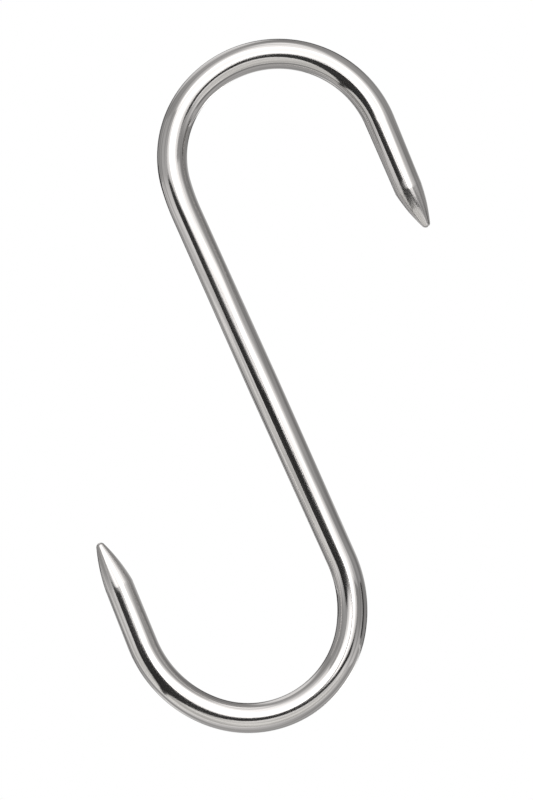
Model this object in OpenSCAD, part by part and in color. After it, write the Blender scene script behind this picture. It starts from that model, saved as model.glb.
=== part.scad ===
// S hook bent from one round bar, with both ends ground to blunt points.
// Lengths are in millimetres and angles in degrees. Bend radii run to the centre line of the bar.
// It hangs as in use: the origin is where a rail bears under the upper bend, and the load
// pulls straight down from there.

/* [Bar] */
// Diameter at the middle of the shank, where the bar keeps its full size
shank_d = 8.3; // [7:0.1:10]
// Diameter round both bends, where bending and polishing have thinned the bar
bend_d = 7.9; // [7:0.1:10]
// Length of the straight shank between the two bends
shank_len = 98; // [70:1:200]

/* [Upper bend] */
// Radius of the easy lead-in that leaves the shank
upper_lead_r = 60; // [40:1:90]
// Angle that the lead-in bends through
upper_lead_angle = 8; // [2:0.25:20]
// Radius of the shoulder beside the shank
upper_shoulder_r = 26; // [20:0.5:40]
// Angle that the shoulder bends through
upper_shoulder_angle = 61; // [45:0.25:75]
// Radius of the crown that sits on the rail
upper_crown_r = 28.5; // [20:0.5:40]
// Angle that the crown bends through
upper_crown_angle = 112.25; // [100:0.25:125]

/* [Lower bend] */
// Radius of the lead-in that leaves the shank
lower_lead_r = 33; // [25:0.5:60]
// Angle that the lead-in bends through
lower_lead_angle = 34; // [25:0.25:60]
// Radius of the crown that takes the load
lower_crown_r = 27; // [20:0.5:40]
// Angle that the crown bends through
lower_crown_angle = 99; // [95:0.25:115]
// Radius of the heel, the last stretch before the leg
lower_heel_r = 31; // [20:0.5:45]
// Angle that the heel bends through
lower_heel_angle = 49.25; // [20:0.25:60]

/* [Legs] */
// Length of the upper leg, from its bend to where its point begins
upper_leg_len = 19.3; // [10:0.1:40]
// Diameter of the upper leg where its point begins
upper_leg_d = 7.4; // [6.5:0.1:8]
// Length of the lower leg, from its bend to where its point begins
lower_leg_len = 16.5; // [10:0.1:40]
// Diameter of the lower leg where its point begins
lower_leg_d = 7.6; // [6.5:0.1:8]

/* [Points] */
// Radius of the blunt nose on both points
nose_r = 1.2; // [0.5:0.1:1.5]
// Lean of both points towards the outside of the hook
point_lean = 3.5; // [0:0.5:4]
// Angle at which the upper point's ground surface leaves the leg
upper_grind_angle = 8; // [6:0.5:12]
// Radius of the curve that each pass of the wheel leaves along the upper point
upper_grind_r = 60; // [40:1:90]
// Length of the first pass on the upper point, up to the faint ring where the second begins
upper_pass_len = 5.3; // [3:0.1:8]
// Angle that the second pass adds at the ring
upper_ring_angle = 2; // [0.5:0.5:4]
// Angle at which the lower point's ground surface leaves the leg
lower_grind_angle = 6; // [6:0.5:12]
// Radius of the curve that the wheel leaves along the lower point, in one pass
lower_grind_r = 46.5; // [35:0.5:90]

/* [Hidden] */

// Facets of the bar's section, of a full ring at a bend, and of a full ground curve
bar_fn = 96;
bend_fn = 240;
grind_fn = 720;

// Room round the leg and behind it that the wheel leaves alone
wheel_clear = 6;
// How far the ground surface is carried on behind the start of a point, just outside the leg
wheel_run_on = 1;
// Step of the coarse move in at() and at_flat()
coarse = 0.01;

// Each bend as its runs, [radius, angle], in order from the shank
upper_runs = [[upper_lead_r, upper_lead_angle],
              [upper_shoulder_r, upper_shoulder_angle],
              [upper_crown_r, upper_crown_angle]];
lower_runs = [[lower_lead_r, lower_lead_angle],
              [lower_crown_r, lower_crown_angle],
              [lower_heel_r, lower_heel_angle]];
upper_crown_run = 2;
lower_crown_run = 1;

// Heading of the bar after the first n runs of a bend, counted from its heading on the shank
function heading(runs, n) = n == 0 ? 0 : heading(runs, n - 1) + runs[n - 1][1];

// Direction from the centre of a run out to the bar, as [across the shank, along it]
function outward(turn) = [-cos(turn), sin(turn)];

// Centre of run n. Two neighbours have theirs on one line through their joint, so they are tangent.
function centre(runs, n) = n == 0 ? [runs[0][0], 0]
  : centre(runs, n - 1) + (runs[n - 1][0] - runs[n][0]) * outward(heading(runs, n));

// Place where the last run of a bend ends and the leg begins
function bend_end(runs) =
  let (last = len(runs) - 1)
  centre(runs, last) + runs[last][0] * outward(heading(runs, len(runs)));

// Centre of a ground curve that passes a place [radius, height] while it slopes in at an angle
function curve_centre(place, slope, r) = place - r * [cos(slope), sin(slope)];

// Centre of the second pass of the wheel, which starts from the ring on the first
function second_centre(first, r, pass_len, ring_angle) =
  let (ring_slope = asin((pass_len - first.y) / r),
       ring = first + r * [cos(ring_slope), sin(ring_slope)])
  curve_centre(ring, ring_slope + ring_angle, r);

// Height of the centre of a nose that blends with the ground curve
function nose_height(centre, r) = centre.y + sqrt(pow(r - nose_r, 2) - pow(centre.x, 2));

// Curve centres of both points, in order from the leg, each as [radius, height]
upper_first = curve_centre([upper_leg_d / 2, 0], upper_grind_angle, upper_grind_r);
upper_second = second_centre(upper_first, upper_grind_r, upper_pass_len, upper_ring_angle);
lower_only = curve_centre([lower_leg_d / 2, 0], lower_grind_angle, lower_grind_r);

// Centres of the two crowns from the middle of the shank. The pull runs from one to the other.
upper_crown = [0, shank_len / 2] + centre(upper_runs, upper_crown_run);
lower_crown = -[0, shank_len / 2] - centre(lower_runs, lower_crown_run);
pull = upper_crown - lower_crown;
hang_turn = -atan2(pull.x, pull.y);
seat_drop = upper_crown_r - bend_d / 2;

// Moves a child in the plane of the hook, by a coarse step and then by what is left of the way.
// Each step is exact in few digits, so runs that meet do so face to face.
module at(place) {
  far = [for (p = place) round(p / coarse) * coarse];
  near = place - far;
  translate([far.x, 0, far.y])
    translate([near.x, 0, near.y])
      children();
}

// The same, within the flat half profile of a point
module at_flat(place) {
  far = [for (p = place) round(p / coarse) * coarse];
  translate(far)
    translate(place - far)
      children();
}

// One run of a bend: a piece of a ring with the bar's round section
module run(runs, n) {
  at(centre(runs, n))
    rotate([90, 0, 0])
      rotate_extrude(angle = runs[n][1], start = 180 - heading(runs, n + 1), $fn = bend_fn)
        translate([runs[n][0], 0])
          circle(d = bend_d, $fn = bar_fn);
}

// Half profile of what the wheel leaves standing: the leg behind, the ground curves and the nose
module ground_profile(leg_len, leg_d, centres, r) {
  last = centres[len(centres) - 1];
  nose = nose_height(last, r);
  blend = nose + nose_r * sin(atan2(nose - last.y, -last.x));
  width = leg_d / 2 + wheel_clear;
  translate([0, -leg_len - wheel_clear])
    square([width, leg_len + wheel_clear - wheel_run_on]);
  intersection() {
    intersection_for (c = centres)
      at_flat(c)
        circle(r = r, $fn = grind_fn);
    translate([0, -wheel_run_on])
      square([width, blend + wheel_run_on]);
  }
  intersection() {
    at_flat([0, nose])
      circle(r = nose_r, $fn = bar_fn);
    translate([0, blend])
      square([width, nose_r]);
  }
}

// A leg that keeps its taper on into its point, which is ground at a lean to the outside
module leg(leg_len, leg_d, centres, r) {
  reach = leg_len + nose_height(centres[len(centres) - 1], r) + nose_r;
  taper = (bend_d - leg_d) / leg_len;
  intersection() {
    cylinder(h = reach, d1 = bend_d, d2 = bend_d - taper * reach, $fn = bar_fn);
    translate([0, 0, leg_len])
      rotate([0, -point_lean, 0])
        rotate_extrude($fn = bar_fn)
          ground_profile(leg_len, leg_d, centres, r);
  }
}

// Half of the shank, from its full size in the middle to the bend
module half_shank() {
  cylinder(h = shank_len / 2, d1 = shank_d, d2 = bend_d, $fn = bar_fn);
}

// One end of the hook: half of the shank, the bend and, as a child, the leg
module hook_end(runs) {
  half_shank();
  translate([0, 0, shank_len / 2]) {
    for (n = [0 : len(runs) - 1])
      run(runs, n);
    at(bend_end(runs))
      rotate([0, heading(runs, len(runs)), 0])
        children();
  }
}

// The whole bar, hung by its upper crown with the pull straight down
module s_hook() {
  color("silver")
    translate([0, 0, -seat_drop])
      rotate([0, hang_turn, 0])
        at(-upper_crown) {
          hook_end(upper_runs)
            leg(upper_leg_len, upper_leg_d, [upper_first, upper_second], upper_grind_r);
          rotate([0, 180, 0])
            hook_end(lower_runs)
              leg(lower_leg_len, lower_leg_d, [lower_only], lower_grind_r);
        }
}

s_hook();
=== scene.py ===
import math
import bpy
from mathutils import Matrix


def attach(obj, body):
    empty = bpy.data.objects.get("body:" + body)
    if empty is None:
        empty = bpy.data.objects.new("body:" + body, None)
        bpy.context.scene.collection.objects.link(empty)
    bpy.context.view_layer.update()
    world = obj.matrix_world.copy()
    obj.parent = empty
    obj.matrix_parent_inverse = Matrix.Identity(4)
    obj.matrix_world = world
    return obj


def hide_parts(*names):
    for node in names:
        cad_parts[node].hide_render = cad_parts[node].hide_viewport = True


bl_info = {
    "name": "Polished S Hook",
    "version": (1, 0, 0),
    "blender": (4, 5, 0),
    "location": "View3D > Sidebar > S Hook",
    "description": "Bends a polished stainless S hook from round bar and hangs it in a plain studio",
    "category": "Add Mesh",
}

import bmesh
import bpy
from bpy.props import FloatProperty, FloatVectorProperty, IntProperty, PointerProperty
from mathutils import Matrix, Vector
from mathutils.geometry import tessellate_polygon

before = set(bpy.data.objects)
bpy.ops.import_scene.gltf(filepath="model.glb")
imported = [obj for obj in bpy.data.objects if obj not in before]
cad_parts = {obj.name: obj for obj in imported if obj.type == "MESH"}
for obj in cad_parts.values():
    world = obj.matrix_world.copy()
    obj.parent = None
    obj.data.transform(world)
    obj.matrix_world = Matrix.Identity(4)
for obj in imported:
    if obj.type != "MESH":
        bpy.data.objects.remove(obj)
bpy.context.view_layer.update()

MM = 0.001
NODE = "s_hook"
BODY = "root"
WHITE = (1, 1, 1, 1)

# How the photograph shows the hook: the place of its seat in the picture in pixels, the size of one pixel
# at the hook, and how far the camera is rolled from the way the hook hangs.
IMAGE_WIDTH, IMAGE_HEIGHT = 533, 800
SEAT_X, SEAT_Y = 285.17, 69.21
PIXEL = 0.26014 * MM
ROLL = math.radians(3.873)


def linear(hex_colour):
    """An sRGB hex colour as the linear red, green and blue that Blender works in."""
    values = [int(hex_colour[i : i + 2], 16) / 255 for i in (1, 3, 5)]
    return [v / 12.92 if v <= 0.04045 else ((v + 0.055) / 1.055) ** 2.4 for v in values]


def length(name, millimetres, description):
    """A length property, whose default is given in millimetres."""
    default = millimetres * MM
    return FloatProperty(name=name, description=description, default=default, unit="LENGTH", precision=5)


def angle(name, degrees, description):
    """An angle property, whose default is given in degrees."""
    return FloatProperty(name=name, description=description, default=math.radians(degrees), subtype="ANGLE")


def fraction(name, value, description):
    """A property that goes from 0 to 1."""
    return FloatProperty(name=name, description=description, default=value, min=0, max=1)


def colour(name, hex_colour, description):
    """A colour property, whose default is given as an sRGB hex colour."""
    default = linear(hex_colour)
    return FloatVectorProperty(
        name=name, description=description, default=default, subtype="COLOR", size=3, min=0, max=1
    )


class SHookSizes(bpy.types.PropertyGroup):
    """The driving sizes of the bar, its bends, legs and points, as on the CAD part."""

    shank_d: length("Shank Diameter", 8.3, "Diameter at the middle of the shank")
    bend_d: length("Bend Diameter", 7.9, "Diameter round both bends")
    shank_len: length("Shank Length", 98, "Straight length between the bends")
    upper_lead_r: length("Upper Lead Radius", 60, "Radius of the lead-in to the upper bend")
    upper_lead_angle: angle("Upper Lead Angle", 8, "Angle of the lead-in to the upper bend")
    upper_shoulder_r: length("Upper Shoulder Radius", 26, "Radius of the shoulder beside the shank")
    upper_shoulder_angle: angle("Upper Shoulder Angle", 61, "Angle of the shoulder")
    upper_crown_r: length("Upper Crown Radius", 28.5, "Radius of the crown that sits on the rail")
    upper_crown_angle: angle("Upper Crown Angle", 112.25, "Angle of the upper crown")
    lower_lead_r: length("Lower Lead Radius", 33, "Radius of the lead-in to the lower bend")
    lower_lead_angle: angle("Lower Lead Angle", 34, "Angle of the lead-in to the lower bend")
    lower_crown_r: length("Lower Crown Radius", 27, "Radius of the crown that takes the load")
    lower_crown_angle: angle("Lower Crown Angle", 99, "Angle of the lower crown")
    lower_heel_r: length("Lower Heel Radius", 31, "Radius of the last stretch before the lower leg")
    lower_heel_angle: angle("Lower Heel Angle", 49.25, "Angle of the last stretch")
    upper_leg_len: length("Upper Leg Length", 19.3, "Length from the upper bend to its point")
    upper_leg_d: length("Upper Leg Diameter", 7.4, "Diameter where the upper point begins")
    lower_leg_len: length("Lower Leg Length", 16.5, "Length from the lower bend to its point")
    lower_leg_d: length("Lower Leg Diameter", 7.6, "Diameter where the lower point begins")
    nose_r: length("Nose Radius", 1.2, "Radius of the blunt nose on both points")
    point_lean: angle("Point Lean", 3.5, "Lean of both points to the outside of the hook")
    upper_grind_angle: angle("Upper Grind Angle", 8, "Angle at which the upper grinding leaves the leg")
    upper_grind_r: length("Upper Grind Radius", 60, "Radius that the wheel leaves along the upper point")
    upper_pass_len: length("Upper Pass Length", 5.3, "Length of the first pass, up to the faint ring")
    upper_ring_angle: angle("Upper Ring Angle", 2, "Angle that the second pass adds at the ring")
    lower_grind_angle: angle("Lower Grind Angle", 6, "Angle at which the lower grinding leaves the leg")
    lower_grind_r: length("Lower Grind Radius", 46.5, "Radius that the wheel leaves along the lower point")
    facets: IntProperty(name="Facets", description="Facets round the bar", default=96, min=24, max=160)


class SHookLooks(bpy.types.PropertyGroup):
    """The finish of the steel and the colour of the floor."""

    steel: colour("Steel", "#D2CFCD", "Colour that the polished steel reflects")
    floor: colour("Floor", "#F4F4F2", "Matt white of the floor")
    roughness: fraction("Roughness", 0.1, "Roughness of the polish")
    line_spacing: length("Line Spacing", 0.5, "Spacing of the belt's lines round the bar")
    line_length: length("Line Length", 25, "Length of one of the belt's lines")
    line_depth: length("Line Depth", 0.0065, "Depth of the belt's lines")
    streak_spacing: length("Streak Spacing", 0.6, "Spacing of the darker streaks that the belt leaves")
    streak_length: length("Streak Length", 30, "Length of one of the streaks")
    streak_tone: fraction("Streak Tone", 0.28, "How much darker a streak is")
    # The crease is a painted dark line: painted shade on the front inside the upper bend.
    crease_start: length("Crease Start", 240, "Start of the crease in the upper bend, from the lower tip")
    crease_end: length("Crease End", 323, "End of the crease in the upper bend, from the lower tip")
    ring_spacing: length("Ring Spacing", 0.5, "Spacing of the wheel's rings along a point")
    ring_depth: length("Ring Depth", 0.004, "Depth of the wheel's rings")
    point_length: length("Point Length", 14, "Length of the ground ends that carry the wheel's rings")


class SHookStudio(bpy.types.PropertyGroup):
    """The places and strengths of the studio round the hook."""

    lens: FloatProperty(
        name="Lens", description="Focal length of the camera", default=360, min=50, max=600, unit="CAMERA"
    )
    floor_z: length("Floor Height", -1000, "Height of the floor, well below the hook")
    floor_radius: length("Floor Radius", 3900, "Radius of the floor")
    tent_radius: length("Tent Radius", 4300, "Radius of the white tent")
    lamp_rise: angle("Lamp Rise", 28, "Angle of the lamp above the camera, as the hook sees it")
    key_power: FloatProperty(
        name="Key Power", description="Power of the key light", default=8, min=0, unit="POWER"
    )
    fill: fraction("Fill", 0.9, "Strength of the background's light")


def heading_after(runs, n):
    """Heading of the bar after the first n runs of a bend, counted from its heading on the shank."""
    return sum(turn for radius, turn in runs[:n])


def outward(turn):
    """Direction from the centre of a run out to the bar, as (across the shank, along it)."""
    return Vector((-math.cos(turn), math.sin(turn)))


def run_centre(runs, n):
    """Centre of run n. Neighbours have theirs on one line through their joint, so they are tangent."""
    centre = Vector((runs[0][0], 0))
    for i in range(1, n + 1):
        centre = centre + (runs[i - 1][0] - runs[i][0]) * outward(heading_after(runs, i))
    return centre


def curve_centre(place, slope, radius):
    """Centre of a ground curve that passes a place (radius, height) while it slopes in at an angle."""
    return Vector(place) - radius * Vector((math.cos(slope), math.sin(slope)))


def point_outline(leg_d, grind_r, grind_angle, nose_r, pass_len=0, ring_angle=0):
    """Outline of a ground point from its leg to the tip of its nose, as (height, radius) pairs."""
    step = 0.15 * MM
    nose_steps = 24
    arcs = [(curve_centre((leg_d / 2, 0), grind_angle, grind_r), pass_len)]
    if pass_len:
        first = arcs[0][0]
        slope = math.asin((pass_len - first.y) / grind_r)
        ring = first + grind_r * Vector((math.cos(slope), math.sin(slope)))
        arcs.append((curve_centre(ring, slope + ring_angle, grind_r), 0))
    last = arcs[-1][0]
    nose = last.y + math.sqrt((grind_r - nose_r) ** 2 - last.x**2)
    blend_angle = math.atan2(nose - last.y, -last.x)
    ends = [end for centre, end in arcs[:-1]] + [nose + nose_r * math.sin(blend_angle)]
    outline, start = [], 0
    for (centre, _), end in zip(arcs, ends):
        steps = math.ceil((end - start) / step)
        for i in range(steps):
            height = start + (end - start) * i / steps
            outline.append((height, centre.x + math.sqrt(grind_r**2 - (height - centre.y) ** 2)))
        start = end
    for i in range(nose_steps):
        at = blend_angle + (math.pi / 2 - blend_angle) * i / nose_steps
        outline.append((nose + nose_r * math.sin(at), nose_r * math.cos(at)))
    return outline


def tapered(first_d, last_d, share):
    """Radius of the bar at a share of the way between two diameters."""
    return (first_d * (1 - share) + last_d * share) / 2


def end_stations(sizes, runs, leg_len, leg_d, outline):
    """One end of the bar, from mid-shank to its tip, as ((across, along), radius) stations."""
    shank_step, bend_step, leg_step = 2 * MM, math.radians(0.75), 0.75 * MM
    half = sizes.shank_len / 2
    stations = []
    steps = math.ceil(half / shank_step)
    for i in range(steps):
        share = i / steps
        stations.append((Vector((0, half * share)), tapered(sizes.shank_d, sizes.bend_d, share)))
    for n, (radius, turn) in enumerate(runs):
        centre = Vector((0, half)) + run_centre(runs, n)
        steps = math.ceil(turn / bend_step)
        for i in range(steps):
            along = heading_after(runs, n) + turn * i / steps
            stations.append((centre + radius * outward(along), sizes.bend_d / 2))
    heading = heading_after(runs, len(runs))
    last = len(runs) - 1
    start = Vector((0, half)) + run_centre(runs, last) + runs[last][0] * outward(heading)
    ahead = Vector((math.sin(heading), math.cos(heading)))
    steps = math.ceil(leg_len / leg_step)
    for i in range(steps):
        share = i / steps
        stations.append((start + ahead * leg_len * share, tapered(sizes.bend_d, leg_d, share)))
    foot = start + ahead * leg_len
    lean = heading - sizes.point_lean
    ahead = Vector((math.sin(lean), math.cos(lean)))
    return stations + [(foot + ahead * height, radius) for height, radius in outline]


def bar_stations(sizes):
    """The whole bar in the hung frame, from the lower tip to the upper one, as (x, z, radius) stations."""
    s = sizes
    upper = [
        (s.upper_lead_r, s.upper_lead_angle),
        (s.upper_shoulder_r, s.upper_shoulder_angle),
        (s.upper_crown_r, s.upper_crown_angle),
    ]
    lower = [
        (s.lower_lead_r, s.lower_lead_angle),
        (s.lower_crown_r, s.lower_crown_angle),
        (s.lower_heel_r, s.lower_heel_angle),
    ]
    upper_point = point_outline(
        s.upper_leg_d, s.upper_grind_r, s.upper_grind_angle, s.nose_r, s.upper_pass_len, s.upper_ring_angle
    )
    lower_point = point_outline(s.lower_leg_d, s.lower_grind_r, s.lower_grind_angle, s.nose_r)
    upper_end = end_stations(s, upper, s.upper_leg_len, s.upper_leg_d, upper_point)
    lower_end = end_stations(s, lower, s.lower_leg_len, s.lower_leg_d, lower_point)
    upper_crown = Vector((0, s.shank_len / 2)) + run_centre(upper, 2)
    lower_crown = -Vector((0, s.shank_len / 2)) - run_centre(lower, 1)
    pull = upper_crown - lower_crown
    hang = Matrix.Rotation(math.atan2(pull.x, pull.y), 2)
    seat = Vector((0, s.upper_crown_r - s.bend_d / 2))
    both = [(-place, radius) for place, radius in reversed(lower_end[1:])] + upper_end
    placed = [(hang @ (place - upper_crown) - seat, radius) for place, radius in both]
    return [(place.x, place.y, radius) for place, radius in placed]


def add(tree, kind, inputs=None, **settings):
    """Adds a node with its settings. Inputs are values or the outputs that they are linked from."""
    node = tree.nodes.new(kind)
    for name, value in settings.items():
        setattr(node, name, value)
    for name, value in (inputs or {}).items():
        if isinstance(value, bpy.types.NodeSocket):
            tree.links.new(value, node.inputs[name])
        else:
            node.inputs[name].default_value = value
    return node


def bar_tree():
    """Geometry Nodes that run a round section along the bar's path.
    For the finish, they keep where each place of the surface was before the bar was bent."""
    tree = bpy.data.node_groups.new("Bar Along Its Path", "GeometryNodeTree")
    face = tree.interface
    face.new_socket("Path", in_out="INPUT", socket_type="NodeSocketGeometry")
    face.new_socket("Facets", in_out="INPUT", socket_type="NodeSocketInt")
    face.new_socket("Steel", in_out="INPUT", socket_type="NodeSocketMaterial")
    face.new_socket("Bar", in_out="OUTPUT", socket_type="NodeSocketGeometry")
    given = add(tree, "NodeGroupInput").outputs
    radius = add(tree, "GeometryNodeInputRadius").outputs["Radius"]
    along = add(tree, "GeometryNodeSplineParameter").outputs["Length"]
    whole = add(tree, "GeometryNodeSplineLength").outputs["Length"]
    rest = add(tree, "ShaderNodeMath", {0: whole, 1: along}, operation="SUBTRACT").outputs["Value"]
    to_tip = add(tree, "ShaderNodeMath", {0: along, 1: rest}, operation="MINIMUM").outputs["Value"]
    geometry = given["Path"]
    for name, value in (("along", along), ("to_tip", to_tip)):
        kept = add(
            tree,
            "GeometryNodeStoreNamedAttribute",
            {"Geometry": geometry, "Name": name, "Value": value},
            data_type="FLOAT",
            domain="POINT",
        )
        geometry = kept.outputs["Geometry"]
    ring = add(tree, "GeometryNodeCurvePrimitiveCircle", {"Resolution": given["Facets"], "Radius": 1.0})
    section_place = add(tree, "GeometryNodeInputPosition").outputs["Position"]
    section = add(
        tree,
        "GeometryNodeStoreNamedAttribute",
        {"Geometry": ring.outputs["Curve"], "Name": "section", "Value": section_place},
        data_type="FLOAT_VECTOR",
        domain="POINT",
    ).outputs["Geometry"]
    swept = add(
        tree,
        "GeometryNodeCurveToMesh",
        {"Curve": geometry, "Profile Curve": section, "Scale": radius, "Fill Caps": True},
    )
    smooth = add(tree, "GeometryNodeSetShadeSmooth", {"Geometry": swept.outputs["Mesh"]})
    real = add(tree, "GeometryNodeRealizeInstances", {"Geometry": smooth.outputs["Geometry"]})
    steel = add(
        tree,
        "GeometryNodeSetMaterial",
        {"Geometry": real.outputs["Geometry"], "Material": given["Steel"]},
    )
    add(tree, "NodeGroupOutput", {"Bar": steel.outputs["Geometry"]})
    return tree


def empty_material(name):
    """A material with no nodes in it yet, and its tree."""
    material = bpy.data.materials.new(name)
    material.use_nodes = True
    material.node_tree.nodes.clear()
    return material, material.node_tree


def marks(tree, bar, length_mm, width_mm):
    """Height of fine marks in the polish, from their real length along the bar and width round it."""
    bar_radius_mm = 4.0
    around = add(
        tree,
        "ShaderNodeVectorMath",
        {0: bar["section"], "Scale": bar_radius_mm / width_mm},
        operation="SCALE",
    ).outputs["Vector"]
    run = add(
        tree, "ShaderNodeMath", {0: bar["along"], 1: 1 / (length_mm * MM)}, operation="MULTIPLY"
    ).outputs["Value"]
    run = add(tree, "ShaderNodeCombineXYZ", {"Z": run}).outputs["Vector"]
    place = add(tree, "ShaderNodeVectorMath", {0: around, 1: run}, operation="ADD").outputs["Vector"]
    return add(tree, "ShaderNodeTexNoise", {"Vector": place, "Scale": 1.0, "Detail": 1.0}).outputs["Fac"]


def painted_crease_shade(tree, bar, looks):
    """1 on the bar, and less on a fine dark line inside the upper bend, which is painted shade drawn as a
    crease.
    The line is on the front, and its place and widths are shares of the bar's radius."""
    crease, edge, core = 0.65, 0.06, 0.02
    full_from, full_to = looks.crease_start * 1.05, looks.crease_end * 0.98
    darkest = 0.4
    sides = add(tree, "ShaderNodeSeparateXYZ", {"Vector": bar["section"]}).outputs
    off = add(tree, "ShaderNodeMath", {0: sides["Y"], 1: crease}, operation="SUBTRACT").outputs["Value"]
    off = add(tree, "ShaderNodeMath", {0: off}, operation="ABSOLUTE").outputs["Value"]
    line = add(
        tree, "ShaderNodeMapRange", {"Value": off, "From Min": edge, "From Max": core}
    ).outputs["Result"]
    # The painted shade is drawn on the front half of the bar only.
    front = add(
        tree, "ShaderNodeMath", {0: sides["X"], 1: 0.0}, operation="GREATER_THAN"
    ).outputs["Value"]
    begins = add(
        tree,
        "ShaderNodeMapRange",
        {"Value": bar["along"], "From Min": looks.crease_start, "From Max": full_from},
    ).outputs["Result"]
    ends = add(
        tree,
        "ShaderNodeMapRange",
        {"Value": bar["along"], "From Min": looks.crease_end, "From Max": full_to},
    ).outputs["Result"]
    for share in (front, begins, ends):
        line = add(tree, "ShaderNodeMath", {0: line, 1: share}, operation="MULTIPLY").outputs["Value"]
    return add(
        tree, "ShaderNodeMapRange", {"Value": line, "To Min": 1.0, "To Max": darkest}
    ).outputs["Result"]


def belt_lines(tree, bar, looks):
    """Surface of the bar with the belt's lines along it, which are deeper near the tips. Real lines are
    under 0.1 mm apart. These are drawn as coarse as they need to be to show."""
    deeper_from, deepest_at, shallow = 50 * MM, 30 * MM, 0.5
    lines = marks(tree, bar, looks.line_length / MM, looks.line_spacing / MM)
    strength = add(
        tree,
        "ShaderNodeMapRange",
        {
            "Value": bar["to_tip"],
            "From Min": deeper_from,
            "From Max": deepest_at,
            "To Min": shallow,
            "To Max": 1.0,
        },
    ).outputs["Result"]
    return add(
        tree, "ShaderNodeBump", {"Height": lines, "Distance": looks.line_depth, "Strength": strength}
    ).outputs["Normal"]


def wheel_rings(tree, bar, looks, on_point, lined):
    """The lined surface with the wheel's rings round the points, also drawn coarser than real ones."""
    ring_width = 12.0
    rings = marks(tree, bar, looks.ring_spacing / MM, ring_width)
    return add(
        tree,
        "ShaderNodeBump",
        {"Height": rings, "Distance": looks.ring_depth, "Strength": on_point, "Normal": lined},
    ).outputs["Normal"]


def streaked_and_shaded_colour(tree, bar, looks):
    """The steel's colour, a little darker in the streaks, which are groups of deeper lines about half a
    millimetre apart, and darker on the crease line, whose darkness is painted shade."""
    darkest_at, lightest_at, lightest = 0.38, 0.62, 1.08
    streaks = marks(tree, bar, looks.streak_length / MM, looks.streak_spacing / MM)
    streak_tone = add(
        tree,
        "ShaderNodeMapRange",
        {
            "Value": streaks,
            "From Min": darkest_at,
            "From Max": lightest_at,
            "To Min": 1 - looks.streak_tone,
            "To Max": lightest,
        },
    ).outputs["Result"]
    # Painted shade: the dark crease line on the front inside the upper bend.
    crease_shade = painted_crease_shade(tree, bar, looks)
    tone = add(tree, "ShaderNodeMath", {0: streak_tone, 1: crease_shade}, operation="MULTIPLY").outputs["Value"]
    return add(
        tree, "ShaderNodeVectorMath", {0: looks.steel, "Scale": tone}, operation="SCALE"
    ).outputs["Vector"]


def patchy_roughness(tree, bar, looks, on_point):
    """Roughness of the polish, which varies in the buff's soft patches and is higher on the points."""
    patch_length, patch_width, change = 22.0, 6.0, 0.02
    point_roughness = 0.09
    smoothest_at, roughest_at = 0.3, 0.7
    patches = marks(tree, bar, patch_length, patch_width)
    polish = add(
        tree,
        "ShaderNodeMapRange",
        {
            "Value": patches,
            "From Min": smoothest_at,
            "From Max": roughest_at,
            "To Min": looks.roughness - change,
            "To Max": looks.roughness + change,
        },
    ).outputs["Result"]
    rougher = add(
        tree, "ShaderNodeMath", {0: on_point, 1: point_roughness}, operation="MULTIPLY"
    ).outputs["Value"]
    return add(tree, "ShaderNodeMath", {0: polish, 1: rougher}, operation="ADD").outputs["Value"]


def polished_stainless(looks):
    """Cold-bent 304 stainless bar, linished along its length and buffed, with its points ground on a
    wheel. It is a neutral mirror. The belt's fine lines run along it and fray the edges of what it
    reflects, and its streaks change the tone a little. The wheel leaves rings round the points and makes
    them less smooth, and the buff leaves softer patches a few centimetres long."""
    material, tree = empty_material("polished stainless steel")
    bar = {
        "along": add(tree, "ShaderNodeAttribute", attribute_name="along").outputs["Fac"],
        "to_tip": add(tree, "ShaderNodeAttribute", attribute_name="to_tip").outputs["Fac"],
        "section": add(tree, "ShaderNodeAttribute", attribute_name="section").outputs["Vector"],
    }
    fully_ground = looks.point_length * 0.95
    on_point = add(
        tree,
        "ShaderNodeMapRange",
        {"Value": bar["to_tip"], "From Min": looks.point_length, "From Max": fully_ground},
    ).outputs["Result"]
    steel = add(
        tree,
        "ShaderNodeBsdfPrincipled",
        {
            "Base Color": streaked_and_shaded_colour(tree, bar, looks),
            "Metallic": 1.0,
            "Roughness": patchy_roughness(tree, bar, looks, on_point),
            "Normal": wheel_rings(tree, bar, looks, on_point, belt_lines(tree, bar, looks)),
        },
    )
    add(tree, "ShaderNodeOutputMaterial", {"Surface": steel.outputs["BSDF"]})
    return material


class SHOOK_OT_bend_bar(bpy.types.Operator):
    """Bend the polished bar along its path, grind its points and put it in place of the plain CAD bar"""

    bl_idname = "shook.bend_bar"
    bl_label = "Bend the Bar"

    def execute(self, context):
        sizes, looks = context.scene.s_hook_sizes, context.scene.s_hook_looks
        stations = bar_stations(sizes)
        path = bpy.data.curves.new("bar path", "CURVE")
        path.dimensions = "3D"
        spline = path.splines.new("POLY")
        spline.points.add(len(stations) - 1)
        for point, (x, z, radius) in zip(spline.points, stations):
            point.co = (x, 0, z, 1)
            point.radius = radius
        guide = bpy.data.objects.new("bar guide", path)
        context.scene.collection.objects.link(guide)
        tree = bar_tree()
        modifier = guide.modifiers.new("Bar", "NODES")
        modifier.node_group = tree
        sockets = {item.name: item.identifier for item in tree.interface.items_tree}
        modifier[sockets["Facets"]] = sizes.facets
        modifier[sockets["Steel"]] = polished_stainless(looks)
        context.view_layer.update()
        mesh = bpy.data.meshes.new_from_object(guide.evaluated_get(context.evaluated_depsgraph_get()))
        if not mesh.polygons:
            raise RuntimeError("the bar came out with no faces")
        bpy.data.objects.remove(guide)
        bar = bpy.data.objects.new("polished_bar", mesh)
        context.scene.collection.objects.link(bar)
        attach(bar, BODY)
        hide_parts(NODE)
        return {"FINISHED"}


def facing(side, rise):
    """The direction at these angles in degrees, to the right of the camera's own place and above it."""
    across, height = math.radians(side), math.radians(rise)
    level = math.cos(height)
    return Vector((math.sin(across) * level, -math.cos(across) * level, math.sin(height)))


def turned_to(direction):
    """The turn that points +Z in a direction."""
    return direction.to_track_quat("Z", "Y").to_matrix().to_4x4()


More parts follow.
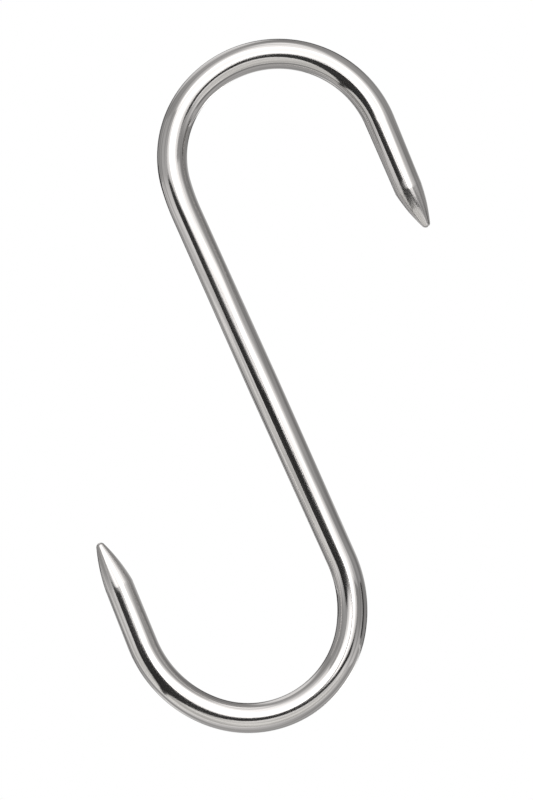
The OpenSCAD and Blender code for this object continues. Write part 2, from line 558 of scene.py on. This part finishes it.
def lit_card(name, radiance):
    """A card that is evenly lit, as bright as it looks in the steel."""
    material, tree = empty_material(name)
    light = add(tree, "ShaderNodeEmission", {"Color": WHITE, "Strength": radiance})
    add(tree, "ShaderNodeOutputMaterial", {"Surface": light.outputs["Emission"]})
    return material


def soft_glow(name, radiance):
    """A lamp's glow on cloth, brightest in the middle of a disc of unit radius and gone at its edge."""
    core = 0.35
    material, tree = empty_material(name)
    place = add(tree, "ShaderNodeTexCoord").outputs["Object"]
    away = add(tree, "ShaderNodeVectorMath", {0: place}, operation="LENGTH").outputs["Value"]
    share = add(
        tree,
        "ShaderNodeMapRange",
        {"Value": away, "From Min": 1.0, "From Max": core},
        interpolation_type="SMOOTHSTEP",
    ).outputs["Result"]
    light = add(tree, "ShaderNodeEmission", {"Color": WHITE, "Strength": radiance}).outputs["Emission"]
    clear = add(tree, "ShaderNodeBsdfTransparent").outputs["BSDF"]
    glow = add(tree, "ShaderNodeMixShader", {0: share, 1: clear, 2: light}).outputs["Shader"]
    add(tree, "ShaderNodeOutputMaterial", {"Surface": glow})
    return material


def tent_cloth(name, glow):
    """White tent cloth with a lamp behind it, brightest round its own +Z and dimmer away from there.
    The glow is a list of (angle from the lamp in degrees, radiance)."""
    material, tree = empty_material(name)
    place = add(tree, "ShaderNodeTexCoord").outputs["Object"]
    direction = add(tree, "ShaderNodeVectorMath", {0: place}, operation="NORMALIZE").outputs["Vector"]
    height = add(tree, "ShaderNodeSeparateXYZ", {"Vector": direction}).outputs["Z"]
    away = add(tree, "ShaderNodeMath", {0: height}, operation="ARCCOSINE").outputs["Value"]
    share = add(tree, "ShaderNodeMath", {0: away, 1: math.pi}, operation="DIVIDE").outputs["Value"]
    falloff = add(tree, "ShaderNodeFloatCurve", {"Value": share})
    curve = falloff.mapping.curves[0]
    brightest = max(radiance for _, radiance in glow)
    points = [(turn / 180, radiance / brightest) for turn, radiance in glow]
    curve.points[0].location = points[0]
    curve.points[1].location = points[-1]
    for point in points[1:-1]:
        curve.points.new(*point)
    falloff.mapping.update()
    strength = add(
        tree, "ShaderNodeMath", {0: falloff.outputs["Value"], 1: brightest}, operation="MULTIPLY"
    ).outputs["Value"]
    light = add(tree, "ShaderNodeEmission", {"Color": WHITE, "Strength": strength})
    add(tree, "ShaderNodeOutputMaterial", {"Surface": light.outputs["Emission"]})
    return material


def fading_card(name, axis, start, end, first, last):
    """A card whose light goes evenly from a first radiance to a last one, between two places on one of
    its axes."""
    material, tree = empty_material(name)
    place = add(tree, "ShaderNodeTexCoord").outputs["Object"]
    along = add(tree, "ShaderNodeSeparateXYZ", {"Vector": place}).outputs[axis]
    tone = add(
        tree,
        "ShaderNodeMapRange",
        {"Value": along, "From Min": start, "From Max": end, "To Min": first, "To Max": last},
    ).outputs["Result"]
    light = add(tree, "ShaderNodeEmission", {"Color": WHITE, "Strength": tone})
    add(tree, "ShaderNodeOutputMaterial", {"Surface": light.outputs["Emission"]})
    return material


def seen_directly(tree):
    """1 for what is seen by the camera, in a mirror or through glass, and 0 for light on matt things."""
    path = add(tree, "ShaderNodeLightPath").outputs
    seen = path["Is Camera Ray"]
    for ray in ("Is Glossy Ray", "Is Transmission Ray"):
        seen = add(tree, "ShaderNodeMath", {0: seen, 1: path[ray]}, operation="MAXIMUM").outputs["Value"]
    return seen


def white_paper(looks, white_from, white_at):
    """Matt white paper on the floor, which runs out into the white background with no edge to be seen,
    between two shares of the floor's radius."""
    material, tree = empty_material("white paper")
    matt = {"Color": (*looks.floor, 1), "Roughness": 0.9}
    paper = add(tree, "ShaderNodeBsdfDiffuse", matt).outputs["BSDF"]
    background = add(tree, "ShaderNodeEmission", {"Color": WHITE, "Strength": 1.0}).outputs["Emission"]
    place = add(tree, "ShaderNodeTexCoord").outputs["Object"]
    away = add(tree, "ShaderNodeVectorMath", {0: place}, operation="LENGTH").outputs["Value"]
    far = add(
        tree,
        "ShaderNodeMapRange",
        {"Value": away, "From Min": white_from, "From Max": white_at},
        interpolation_type="SMOOTHSTEP",
    ).outputs["Result"]
    share = add(
        tree, "ShaderNodeMath", {0: far, 1: seen_directly(tree)}, operation="MULTIPLY"
    ).outputs["Value"]
    floor = add(tree, "ShaderNodeMixShader", {0: share, 1: paper, 2: background}).outputs["Shader"]
    add(tree, "ShaderNodeOutputMaterial", {"Surface": floor})
    return material


def put_on_stage(name, mesh, material, only_in_reflections=True):
    """Links a piece of the studio. Apart from the floor, it shows only in the steel, and neither to the
    camera nor as light on the floor."""
    piece = bpy.data.objects.new(name, mesh)
    mesh.materials.append(material)
    bpy.context.scene.collection.objects.link(piece)
    if only_in_reflections:
        piece.visible_camera = piece.visible_diffuse = piece.visible_shadow = False
        piece.visible_transmission = piece.visible_volume_scatter = False
    return piece


def polygon_mesh(name, corners):
    """A flat mesh with one face through its corners."""
    mesh = bpy.data.meshes.new(name)
    mesh.from_pydata([tuple(corner) for corner in corners], [], [range(len(corners))])
    return mesh


def disc_mesh(name, sides=96):
    """A disc of unit radius that faces along Z."""
    turns = [2 * math.pi * i / sides for i in range(sides)]
    return polygon_mesh(name, [(math.cos(t), math.sin(t), 0) for t in turns])


def aimed_disc(name, material, aim, side, rise, reach, spread):
    """A disc that faces the hook from these angles and this far off, and spreads this many degrees
    each way."""
    direction = facing(side, rise)
    disc = put_on_stage(name, disc_mesh(name), material)
    radius = reach * math.tan(math.radians(spread))
    place = Matrix.Translation(aim + direction * reach)
    disc.matrix_world = place @ turned_to(direction) @ Matrix.Scale(radius, 4)


def aimed_card(name, material, aim, outline, headroom, reach):
    """A cut card whose outline, in (side, rise) angles, is what the hook sees of it. It stands as far off
    as reach, and nearer where it would meet the floor, which is headroom below the hook."""
    nearly_level = 0.01
    flat = [Vector((side, rise, 0)) for side, rise in outline]
    corners = []
    for side, rise in outline:
        direction = facing(side, rise)
        to_floor = headroom / max(-direction.z, nearly_level)
        corners.append(tuple(aim + direction * min(reach, to_floor)))
    mesh = bpy.data.meshes.new(name)
    mesh.from_pydata(corners, [], tessellate_polygon([flat]))
    put_on_stage(name, mesh, material)


# Light on the tent's cloth, as (angle from the lamp in degrees, radiance).
TENT_GLOW = [
    (0, 2.2), (30, 2.0), (34, 1.65), (38, 1.32), (42, 1.08), (46, 0.92), (52, 0.7),
    (58, 0.56), (64, 0.47), (75, 0.39), (90, 0.35), (120, 0.38), (150, 0.45), (180, 0.45),
]

# Softer glows on the cloth, as (name, radiance, side, rise, reach, spread).
GLOWS = [
    ("top_glow", 1.3, 0, 72, 3.5, 26),
    ("back_left_glow", 1.1, -142, 42, 3.0, 28),
    ("back_low_glow", 1.1, -152, -40, 1.25, 13),
    ("back_strip_glow", 2.4, 152, -22, 2.2, 15),
    ("back_right_glow", 0.6, 150, 16, 2.8, 20),
]

# Outlines of the cards, as (side, rise) in degrees from the hook. The black flag hangs under the lamp and
# gives the dark line that runs along the whole hook.
BLACK_FLAG = [
    (-2, -3), (0, 3), (2, -3.5), (6, -7), (12, -10), (22, -9.5), (30, -7.5), (35, -3.5), (39, 3),
    (45, 3), (47, -8), (42, -14.5), (34, -15.5), (26, -16.5), (15, -17.5), (8, -20.5), (2, -24.5),
    (-6, -29), (-14, -34), (-24, -39), (-36, -43), (-50, -47), (-70, -52), (-85, -54), (-85, -52),
    (-68, -48), (-54, -42), (-45, -34), (-47, -26), (-51, -17), (-50, -5), (-42, -2.5), (-36, -7),
    (-28, -8), (-20, -7), (-10, -4.5),
]
LEFT_CARD = [(-40, -8), (-39, 18), (-70, 22), (-105, 18), (-105, -24), (-53, -24), (-50, -8)]
RIGHT_CARD = [(36, 8), (36, -6), (46, -24), (95, -24), (95, 8)]
DARK_STAND = [(84, -14), (84, 10), (98, 10), (98, -14)]
LOW_CARD = [(-130, -3), (-145, -2), (-160, -2), (-160, -14), (-145, -14), (-130, -13)]
BACK_CARD = [(-172, -29), (-150, -23), (-125, -20), (-125, -24), (-150, -28), (-172, -35)]


class SHOOK_OT_set_stage(bpy.types.Operator):
    """Set the floor, the white background, the lights, the cards and the camera"""

    bl_idname = "shook.set_stage"
    bl_label = "Set the Stage"

    def execute(self, context):
        scene = context.scene
        scene.view_settings.view_transform = "Standard"
        studio = scene.s_hook_studio
        aim = self.place_camera(scene, studio)
        self.set_background(scene, studio)
        self.lay_floor(scene, studio)
        self.hang_tent(studio, aim)
        self.hang_cards(studio, aim)
        self.light_hook(scene, studio, aim)
        return {"FINISHED"}

    def place_camera(self, scene, studio):
        """Puts the photograph's frame round the hook, and gives the place in the middle of it."""
        lens = bpy.data.cameras.new("long lens")
        lens.lens = studio.lens
        lens.sensor_width = 36
        camera = bpy.data.objects.new("camera", lens)
        scene.collection.objects.link(camera)
        distance = lens.lens / lens.sensor_width * IMAGE_HEIGHT * PIXEL
        right = Vector((math.cos(ROLL), 0, math.sin(ROLL)))
        up = Vector((-math.sin(ROLL), 0, math.cos(ROLL)))
        aim = right * (IMAGE_WIDTH / 2 - SEAT_X) * PIXEL + up * (SEAT_Y - IMAGE_HEIGHT / 2) * PIXEL
        back = Vector((0, -1, 0))
        turn = Matrix((right, up, back)).transposed().to_4x4()
        camera.matrix_world = Matrix.Translation(aim + back * distance) @ turn
        scene.camera = camera
        return aim

    def set_background(self, scene, studio):
        """A white background, which also fills in the light on matt things."""
        world = bpy.data.worlds.new("white studio")
        world.use_nodes = True
        scene.world = world
        tree = world.node_tree
        tree.nodes.clear()
        seen = seen_directly(tree)
        strength = add(
            tree, "ShaderNodeMapRange", {"Value": seen, "To Min": studio.fill, "To Max": 1.0}
        ).outputs["Result"]
        white = add(tree, "ShaderNodeBackground", {"Color": WHITE, "Strength": strength})
        add(tree, "ShaderNodeOutputWorld", {"Surface": white.outputs["Background"]})

    def lay_floor(self, scene, studio):
        """White paper under everything, and grey paper that only the steel sees, from under the hook to
        the back."""
        paper = white_paper(scene.s_hook_looks, white_from=0.3, white_at=0.75)
        floor = put_on_stage("floor", disc_mesh("floor"), paper, only_in_reflections=False)
        place = Matrix.Translation((0, 0, studio.floor_z))
        floor.matrix_world = place @ Matrix.Scale(studio.floor_radius, 4)
        front, back, front_half = -0.25, 2.6, 4.1
        back_half = front_half * 0.6
        corners = [
            (-front_half, front, 0),
            (front_half, front, 0),
            (back_half, back, 0),
            (-back_half, back, 0),
        ]
        tone = fading_card("grey paper", "Y", start=front, end=0.1, first=0.98, last=0.5)
        sweep = put_on_stage("grey_sweep", polygon_mesh("grey sweep", corners), tone)
        sweep_turn, above_floor = math.radians(-16), 0.01
        place = Matrix.Translation((0, 0, studio.floor_z + above_floor))
        sweep.matrix_world = place @ Matrix.Rotation(sweep_turn, 4, "Z")

    def hang_tent(self, studio, aim):
        """A white tent round everything, with its lamp above the camera."""
        shell = bmesh.new()
        bmesh.ops.create_uvsphere(shell, u_segments=72, v_segments=36, radius=studio.tent_radius)
        mesh = bpy.data.meshes.new("tent")
        shell.to_mesh(mesh)
        shell.free()
        tent = put_on_stage("tent", mesh, tent_cloth("tent cloth", TENT_GLOW))
        lamp = facing(0, math.degrees(studio.lamp_rise))
        tent.matrix_world = Matrix.Translation(aim) @ turned_to(lamp)

    def hang_cards(self, studio, aim):
        """Cards, panels and glows that draw the dark lines and the edges of the light in the steel."""
        clearance = 0.03
        headroom = aim.z - studio.floor_z - clearance
        black = lit_card("black card", 0.045)
        left_tone = fading_card("left grey card", "Z", start=-0.9, end=-0.36, first=0.95, last=0.5)
        right_tone = fading_card("right grey card", "Z", start=-0.9, end=-0.2, first=0.85, last=0.4)
        stand, panel = lit_card("dark stand", 0.05), lit_card("lit background", 1.0)
        frame_tone = lit_card("background frame", 0.1)
        aimed_card("black_flag", black, aim, BLACK_FLAG, headroom, reach=3.4)
        aimed_card("left_card", left_tone, aim, LEFT_CARD, headroom, reach=2.0)
        aimed_card("right_card", right_tone, aim, RIGHT_CARD, headroom, reach=2.0)
        aimed_card("dark_stand", stand, aim, DARK_STAND, headroom, reach=0.7)
        aimed_disc("background_panel", panel, aim, side=180, rise=0, reach=3.0, spread=22)
        aimed_disc("background_frame", frame_tone, aim, side=180, rise=0, reach=3.1, spread=46)
        aimed_card("low_black_card", black, aim, LOW_CARD, headroom, reach=2.9)
        aimed_card("back_black_card", black, aim, BACK_CARD, headroom, reach=1.6)
        for name, radiance, side, rise, reach, spread in GLOWS:
            glow = soft_glow(name.replace("_", " "), radiance)
            aimed_disc(name, glow, aim, side, rise, reach, spread)

    def light_hook(self, scene, studio, aim):
        """The key light, which the tent's bright patch stands for in the steel."""
        lamp_size, lamp_distance = 1.0, 1.6
        key = bpy.data.lights.new("key light", "AREA")
        key.shape = "DISK"
        key.size = lamp_size
        key.energy = studio.key_power
        lamp = bpy.data.objects.new("key_light", key)
        scene.collection.objects.link(lamp)
        direction = facing(0, math.degrees(studio.lamp_rise))
        lamp.matrix_world = Matrix.Translation(aim + direction * lamp_distance) @ turned_to(direction)
        lamp.visible_glossy = False


class SHOOK_PT_sidebar(bpy.types.Panel):
    """The S hook's pieces and sizes"""

    bl_label = "S Hook"
    bl_idname = "SHOOK_PT_sidebar"
    bl_space_type = "VIEW_3D"
    bl_region_type = "UI"
    bl_category = "S Hook"

    def draw(self, context):
        scene = context.scene
        for operator in (SHOOK_OT_bend_bar, SHOOK_OT_set_stage):
            self.layout.operator(operator.bl_idname)
        for group in (scene.s_hook_sizes, scene.s_hook_looks, scene.s_hook_studio):
            box = self.layout.box()
            for name in group.__annotations__:
                box.prop(group, name)


CLASSES = (SHookSizes, SHookLooks, SHookStudio, SHOOK_OT_bend_bar, SHOOK_OT_set_stage, SHOOK_PT_sidebar)


def register():
    """Adds the hook's classes and its settings to Blender."""
    for cls in CLASSES:
        bpy.utils.register_class(cls)
    bpy.types.Scene.s_hook_sizes = PointerProperty(type=SHookSizes)
    bpy.types.Scene.s_hook_looks = PointerProperty(type=SHookLooks)
    bpy.types.Scene.s_hook_studio = PointerProperty(type=SHookStudio)


def unregister():
    """Takes the hook's settings and its classes out of Blender again."""
    del bpy.types.Scene.s_hook_studio
    del bpy.types.Scene.s_hook_looks
    del bpy.types.Scene.s_hook_sizes
    for cls in reversed(CLASSES):
        bpy.utils.unregister_class(cls)


def main():
    """Makes the bar and its studio."""
    register()
    bpy.ops.shook.bend_bar()
    bpy.ops.shook.set_stage()


if __name__ == "__main__":
    main()
